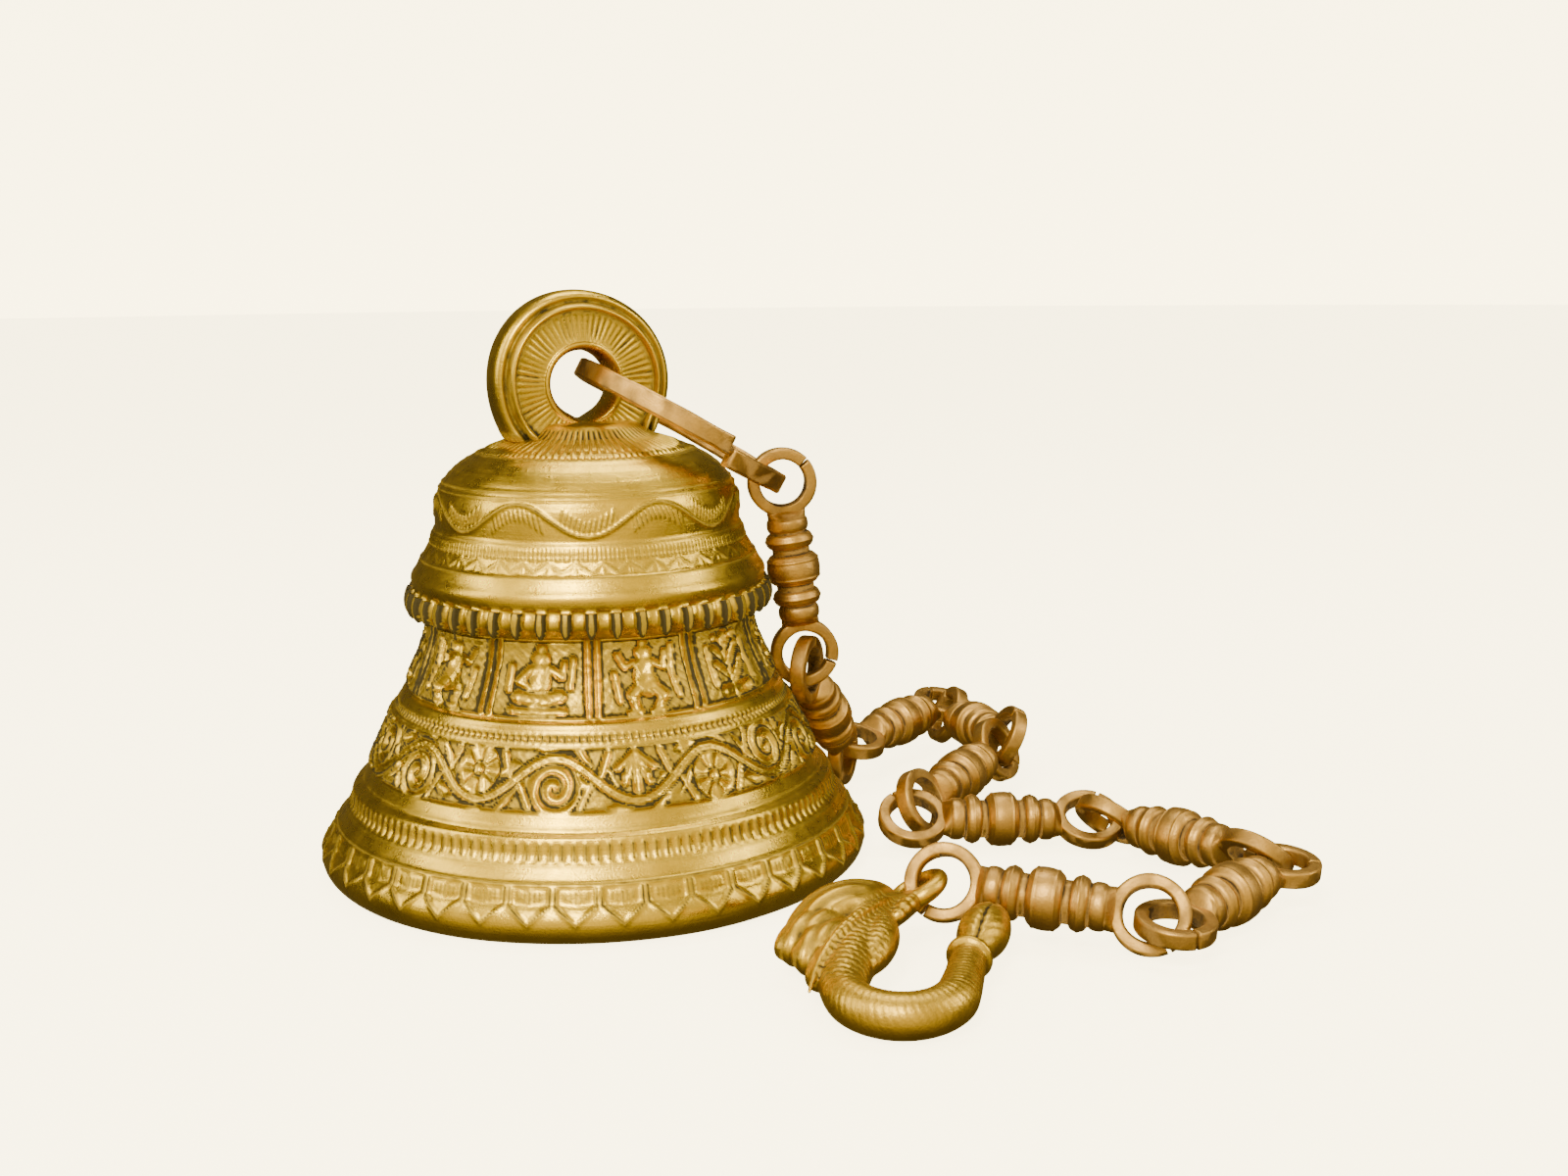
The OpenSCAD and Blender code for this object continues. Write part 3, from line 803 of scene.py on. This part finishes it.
# How each link lies: its centre in millimetres, then its roll, slope and heading in degrees
LINKS = (
    (49.8, 11, 66.5, 90, 83, 1), (59.5, 24.5, 26, 91, 44, 65), (85.7, 62.6, 12.7, 14, -2, 45),
    (105.2, 52.7, 13.5, 62, -6, -81), (92.5, 12, 11.5, -64, 4, -128), (97.5, -11, 7, 30, 2, -3),
    (134.7, -33.2, 8.1, -45, -3, -58), (133.2, -70.6, 7.8, -6, 2, -141), (92.3, -73.1, 9.75, -63, -4, 157),
)


def link_end(side, cut):
    """One ring of a link: a flat band bent round, its end closed against the body."""
    gap = math.degrees(LINK_GAP / LINK_RING_R)
    angles = np.radians(np.linspace(cut + gap / 2, cut + 360 - gap / 2, 121))
    outline = rounded_box(LINK_BAND, LINK_T, 0.7, 5)
    swell = 1 + 0.025 * np.sin(5 * angles + side)
    x = LINK_RING_R + outline[None, :, 0] * swell[:, None]
    z = outline[None, :, 1] * np.ones_like(angles)[:, None]
    points = np.stack([side * (LINK_PITCH / 2 + x * np.cos(angles)[:, None]),
                       side * x * np.sin(angles)[:, None], z], -1)
    inner = np.broadcast_to(outline[None, :, 0] < -LINK_BAND / 2 + 0.35, points.shape[:2])
    worn = np.cos(angles)[:, None] > 0.3
    patina = 0.2 + 0.3 * inner * ~worn + 0.12 * waves(points[..., 0], points[..., 1], points[..., 2], 1.4)
    return points, patina


def link_mesh():
    shape = Shape()
    for side, cut in zip((1, -1), LINK_CUTS):
        points, patina = link_end(side, cut)
        shape.grid(points, patina, caps=True)
    end = LINK_PITCH / 2 - LINK_RING_R + 0.3
    x = np.linspace(-end, end, 181)
    body = np.full_like(x, NECK_R)
    for at, radius, width in BEADS:
        t = np.clip(1 - np.abs((x - at) / (width / 2)) ** 2.4, 0, 1)
        body = np.maximum(body, NECK_R - 0.25 + (radius - NECK_R + 0.25) * t ** 0.5)
    ridge = 0.22 * line(np.abs(x) - 7.1, 0.35) + 0.25 * line(np.abs(x) - 2.3, 0.3)
    body = body + ridge * (body > NECK_R + 0.2)
    flare = soft(np.abs(x), 12.2, end)
    wide = body * (1 - flare) + 4.7 * flare
    thick = body * (1 - flare) + (LINK_T / 2 - 0.15) * flare
    t = np.arange(48) / 48 * TAU
    power = 1 - 0.35 * flare[:, None]
    c, s = np.cos(t)[None], np.sin(t)[None]
    points = np.stack([
        np.repeat(x[:, None], 48, 1),
        wide[:, None] * np.sign(c) * np.abs(c) ** power,
        thick[:, None] * np.sign(s) * np.abs(s) ** power,
    ], -1)
    points[..., 1:] *= (1 + 0.018 * waves(points[..., 0], points[..., 1], points[..., 2], 3))[..., None]
    eased = np.convolve(np.pad(body, 6, mode="edge"), np.ones(13) / 13, "valid")
    patina = np.clip((eased - body) * 1.1, 0, 1) + 0.12
    shape.grid(points, patina[:, None], caps=True)
    return shape.mesh("baluster_link")


def chain():
    base = link_mesh()
    pieces = []
    for i, (x, y, z, roll, slope, heading) in enumerate(LINKS, 1):
        mesh = base.copy()
        turn = Euler([math.radians(a) for a in (roll, slope, heading)]).to_matrix().to_4x4()
        mesh.transform(Matrix.Translation(Vector((x, y, z)) * MM) @ turn)
        piece = new_object(f"baluster_link_{i}", mesh)
        outward(piece)
        pieces.append(piece)
    return pieces


# ---------------------------------------------------------------- the hook

HOOK_AT = Vector((67, -63.6, 9.4))
HOOK_LIE = (-1, 5, -110)
HOOK_REACH = 42.5
BEND_R = 11.0
BAR_R = 4.4
SHANK_Y = -7.2
ARM_Y = SHANK_Y + 2 * BEND_R
HOOK_EYE_R = 5.4
HOOK_EYE_WIRE_R = 1.8
EYE_LEAN = math.radians(60)


def pod(start, turn, length, radius, height=0.0, rise=0.0, squash=1.0, blunt=0.7):
    """A pointed lobe from start, heading turn degrees, rising by rise at its far end."""
    t = np.linspace(0.01, 0.99, 40)
    a = math.radians(turn)
    path = np.stack([start[0] + length * t * math.cos(a), start[1] + length * t * math.sin(a),
                     height + rise * t ** 1.5], 1)
    return tube(path, radius * np.sin(math.pi * t) ** blunt, 32, squash)


def hook_shells():
    shape = Shape()
    t = np.linspace(0, TAU, 97)[:-1]
    lean = math.sin(EYE_LEAN), math.cos(EYE_LEAN)
    across, along = HOOK_EYE_R * np.cos(t), HOOK_EYE_R * np.sin(t)
    eye = np.stack([across, along * lean[0], along * lean[1]], 1)
    wire = HOOK_EYE_WIRE_R + 0.25 * np.cos(t)
    closed = np.vstack([eye, eye[:2]])
    ring = tube(closed, np.append(wire, wire[:2]), 20, up=(0, lean[1], -lean[0]))
    shape.grid(ring[1:-1], wrap_rows=True)
    bend = [(HOOK_REACH + BEND_R * math.cos(a), SHANK_Y + BEND_R + BEND_R * math.sin(a), 0, BAR_R + 0.1)
            for a in np.radians(np.linspace(-72, 72, 7))]
    bar = smooth_curve(
        [(5.0, 0, 0, 2.3), (9, -2.4, 0, 3.2), (14, -5.5, 0.1, 4.3), (22, -6.7, 0.2, 4.9),
         (34, -7.3, 0.1, 5.1), (HOOK_REACH, SHANK_Y, 0, 4.8)] + bend
        + [(HOOK_REACH, ARM_Y, 0, 4.3), (36, ARM_Y + 0.1, 0, 3.9), (31, ARM_Y, 0, 3.7),
           (25, ARM_Y + 0.4, 0, 3.2)],
        150)
    shape.grid(tube(bar[:, :3], bar[:, 3], 36), caps=True)
    # The bud, with a ring at its foot
    shape.grid(pod((28, ARM_Y), 173, 23, 5.3, blunt=0.75), caps=True)
    a = np.linspace(0, TAU, 49)[:-1]
    foot = np.stack([28 + 0.5 * np.cos(a), ARM_Y + 3.8 * np.cos(a), 3.8 * np.sin(a)], 1)
    shape.grid(tube(np.vstack([foot, foot[:2]]), 0.95, 16, up=(1, 0, 0))[1:-1], wrap_rows=True)
    # The crest: one broad lobe that curls back from the eye, its nose, and the jaws below it
    shape.grid(pod((4, SHANK_Y + 3), -36, 30, 7.0, 0.3, 0.4, 1.0, 0.57), caps=True)
    shape.grid(pod((21.5, SHANK_Y - 6.5), -64, 11, 4.1, -0.6, -0.4, 1.0, 0.55), caps=True)
    shape.grid(pod((18, SHANK_Y - 2.5), -40, 20, 5.6, 0.2, -0.6, 1.0, 0.5), caps=True)
    shape.grid(pod((22, SHANK_Y - 1.5), -31, 18, 5.2, 0.1, -0.3, 1.0, 0.5), caps=True)
    shape.grid(pod((29, SHANK_Y - 1.2), -15, 17, 4.3, 0, 0, 1.0, 0.55), caps=True)
    rib = smooth_curve([(12, -3.4, 3.4), (18, -5.0, 5.2), (26, -7.8, 5.9), (35, -10.6, 4.9),
                        (43, -12.3, 2.6), (49, -12.6, 0.2)], 60)
    shape.grid(tube(rib, 0.9 * np.sin(np.linspace(0.25, 2.9, 60)) + 0.15, 16), caps=True)
    # The thorn on the inner side and the small frill beside the eye
    thorn = smooth_curve([(17, -4.6, 0.8, 2.4), (22, -3.6, 1.2, 3.4), (27, -3.0, 1.3, 3.8),
                          (32, -3.4, 0.9, 3.6), (37, -4.6, 0.4, 2.6)], 40)
    shape.grid(tube(thorn[:, :3], thorn[:, 3], 28), caps=True)
    frill = ((9.4, 0.2, 1.6, 2.0), (12.0, 0.0, 2.2, 2.0), (14.6, -0.6, 2.4, 1.9), (17.2, -1.2, 2.2, 1.7))
    for x, y, z, r in frill:
        knob = tube([(x - r, y, z), (x - 0.6 * r, y, z), (x, y, z), (x + 0.6 * r, y, z), (x + r, y, z)],
                    [0.2, 0.8 * r, r, 0.8 * r, 0.2], 16)
        shape.grid(knob, caps=True)
    return shape.object("crest_hook")


def hook_relief(x, y, z):
    """Engraving on the hook: fan ridges on the crest, scales on the shank, turned lines on
    the arm and a cleft in the bud."""
    edge = -4.2 - 0.205 * x
    crest = soft(edge - y, 0.4, 1.6) * within(x, 4, 44, 1.5)
    far = np.hypot(x - 34, y - 3)
    fan = np.cos(TAU * far / 3.3)
    ridges = (0.17 * fan - 0.05) * crest
    shank = within(x, 11, 49, 2.5) * soft(y - edge, 0.2, 1.4) * soft(-0.2 - y, 0, 1) * soft(z, 0.4, 2.0)
    row = x / 1.7
    scale = np.abs((y / 1.9 + 0.5 * np.floor(row)) % 1 - 0.5)
    scales = -0.2 * line((row % 1) - 0.25 - 1.6 * scale ** 2, 0.16) * shank
    past = np.clip(x - HOOK_REACH, 0, 99)
    round_bend = np.arctan2(y - SHANK_Y - BEND_R, past + 1e-6)
    bend = (past > 0.5) * soft(z, -0.5, 1.2)
    hatch = -0.06 * np.clip(np.cos(TAU * round_bend * 9 + 1.5 * z), 0, 1) * bend
    arm = within(x, 29.5, 46, 0.8) * (y > 9)
    rings = -0.14 * np.clip(np.cos(TAU * x / 1.3 + 0.8 * (y - ARM_Y)), 0, 1) * arm * soft(z, -1, 1)
    bud = within(x, 6, 26.5, 1.2) * (y > 9)
    cleft = -0.4 * line(y - ARM_Y - 0.11 * (28 - x) - 0.6, 0.5) * soft(z, 0, 1.5) * bud
    veins = -0.1 * np.clip(np.cos(TAU * (x + 0.9 * np.abs(y - ARM_Y - 1.4)) / 2.3), 0, 1) * bud
    return ridges + scales + hatch + rings + cleft + veins


def hook():
    piece = hook_shells()
    outward(piece)
    mesh = remeshed(piece, 0.36, 4)
    points, normals, edges = coordinates(mesh)
    relief = hook_relief(*points.T)
    points += normals * relief[:, None]
    mesh.vertices.foreach_set("co", (points * MM).ravel())
    mesh.update()
    put_patina(mesh, hollows(mesh, 8, 1.6) + 1.1 * np.clip(-relief, 0, 1) + 0.06)
    turn = Euler([math.radians(a) for a in HOOK_LIE]).to_matrix().to_4x4()
    mesh.transform(Matrix.Translation(HOOK_AT * MM) @ turn)
    return piece


# ---------------------------------------------------------------- the whole

brass = metal("polished_cast_brass",
              (0.82, 0.55, 0.05, 1), (0.42, 0.28, 0.025, 1), (0.03, 0.022, 0.004, 1),
              0.24, 0.16, 0.22, 1.5, (0.12, 0.12, 3.5))
hook_brass = metal("cast_brass_hook",
                   (0.80, 0.51, 0.055, 1), (0.40, 0.26, 0.03, 1), (0.035, 0.023, 0.005, 1),
                   0.30, 0.14, 0.24, 1.4, (1, 1, 1))
bronze = metal("satin_bronze", (0.70, 0.41, 0.11, 1), (0.36, 0.20, 0.05, 1), (0.045, 0.026, 0.008, 1),
               0.33, 0.14, 0.25, 1.5, (1, 1, 1))
old_brass = metal("dull_old_brass", (0.52, 0.37, 0.13, 1), (0.30, 0.20, 0.06, 1), (0.04, 0.026, 0.01, 1),
                  0.42, 0.2, 0.35, 1.2, (1, 1, 0.2))

dress(bell_shell(), brass, "bell", "brass", "bell_shell")
dress(crown_loop(), brass, "bell", "brass", "crown_loop")
dress(washer(), old_brass, "bell", "old_brass", "crown_washer")
dress(clapper_ring(), old_brass, "clapper_ring", "old_brass", "clapper_ring")
dress(clapper_rod(), old_brass, "clapper", "old_brass", "clapper_rod")
dress(clapper_ball(), brass, "clapper", "brass", "clapper_ball")
dress(split_ring(), bronze, "split_ring", "bronze", "split_ring")
for number, piece in enumerate(chain(), 1):
    dress(piece, bronze, f"link_{number}", "bronze", f"chain_link_{number}")
dress(hook(), hook_brass, "hook", "brass", "hook")


# ---------------------------------------------------------------- stage, light, camera

def plain(name, colour, rough):
    material = bpy.data.materials.new(name)
    material.use_nodes = True
    shader = material.node_tree.nodes["Principled BSDF"]
    shader.inputs["Base Color"].default_value = colour
    shader.inputs["Roughness"].default_value = rough
    return material


def pale(name, mesh, glow):
    """A stage piece of pale cream that the metal doesn't mirror."""
    piece = new_object(name, mesh)
    material = plain(name, (0.80, 0.76, 0.67, 1), 0.9)
    shader = material.node_tree.nodes["Principled BSDF"]
    shader.inputs["Specular IOR Level"].default_value = 0
    shader.inputs["Emission Color"].default_value = (1.0, 0.87, 0.52, 1)
    shader.inputs["Emission Strength"].default_value = glow
    mesh.materials.append(material)
    piece.visible_glossy = False
    return piece


def floor():
    size = 6.0
    mesh = bpy.data.meshes.new("floor")
    corners = [(-size, -size, 0), (size, -size, 0), (size, size, 0), (-size, size, 0)]
    mesh.from_pydata(corners, [], [(0, 1, 2, 3)])
    pale("floor", mesh, 6.2)


def backdrop():
    """A round wall that meets the floor out of sight, for every side the bell is seen from."""
    t = np.arange(96) / 96 * TAU
    wall = [[(5.5 * math.cos(a), 5.5 * math.sin(a), z) for a in t] for z in (-0.1, 4.0)]
    mesh = bpy.data.meshes.new("backdrop")
    faces = [(k, (k + 1) % 96, 96 + (k + 1) % 96, 96 + k) for k in range(96)]
    mesh.from_pydata([p for row in wall for p in row], [], faces)
    wall = pale("backdrop", mesh, 5.15)
    wall.visible_diffuse = False
    wall.visible_shadow = False


def softbox(name, at, aim, size, power, colour=(1, 1, 1)):
    lamp = bpy.data.lights.new(name, "AREA")
    lamp.shape = "RECTANGLE"
    lamp.size, lamp.size_y = size
    lamp.energy = power
    lamp.color = colour
    made = bpy.data.objects.new(name, lamp)
    made.location = at
    made.rotation_euler = (Vector(aim) - Vector(at)).to_track_quat("-Z", "Y").to_euler()
    bpy.context.scene.collection.objects.link(made)


def sky():
    """A room that is bright in front, toward the viewer, and dim at the sides and overhead."""
    world = bpy.data.worlds.new("studio")
    world.use_nodes = True
    tree = world.node_tree
    tree.nodes.clear()
    way = node(tree, "ShaderNodeTexCoord").outputs["Generated"]
    up = node(tree, "ShaderNodeSeparateXYZ", {0: way}).outputs[2]
    ahead = node(tree, "ShaderNodeVectorMath", {0: way, 1: (-0.12, -0.96, 0.25)}, operation="DOT_PRODUCT")
    front = band(tree, ahead.outputs["Value"], 0.05, 0.98)
    low = band(tree, up, -0.75, 0.05, 0.3, 1.0)
    bright = math_of(tree, "MULTIPLY", front, low)
    colour = blend_colour(tree, bright, (0.11, 0.09, 0.04, 1), (1.55, 1.27, 0.5, 1))
    glow = node(tree, "ShaderNodeBackground", {"Color": colour, "Strength": 1.0})
    output = node(tree, "ShaderNodeOutputWorld")
    tree.links.new(glow.outputs[0], output.inputs[0])
    bpy.context.scene.world = world


def camera():
    """At the left of the bell's front, a little above its crown, looking down on the chain."""
    lens = bpy.data.cameras.new("camera")
    lens.sensor_width = 36
    lens.lens = 40.5
    lens.clip_start = 0.01
    made = bpy.data.objects.new("camera", lens)
    heading, pitch, roll = -6.37, -10.39, -0.53
    aim = Matrix.Rotation(math.radians(90 + pitch), 4, "X")
    turn = Matrix.Rotation(math.radians(heading), 4, "Z") @ aim
    tip = Matrix.Rotation(math.radians(roll), 4, "Z")
    made.matrix_world = Matrix.Translation((0, -0.4143, 0.140)) @ turn @ tip
    bpy.context.scene.collection.objects.link(made)
    bpy.context.scene.camera = made


floor()
backdrop()
sky()
softbox("key", (-0.25, -0.75, 0.75), (0.02, 0, 0.06), (0.3, 0.45), 11, (1.0, 0.93, 0.7))
softbox("left_strip", (-0.8, -0.15, 0.5), (0.0, 0, 0.06), (0.2, 0.7), 3.5, (1.0, 0.92, 0.7))
softbox("right_strip", (0.85, -0.25, 0.55), (0.05, 0, 0.05), (0.2, 0.7), 4.0, (1.0, 0.92, 0.7))
softbox("top", (0.1, 0.25, 0.9), (0.03, -0.02, 0.05), (0.6, 0.3), 4.5, (1.0, 0.93, 0.75))
camera()
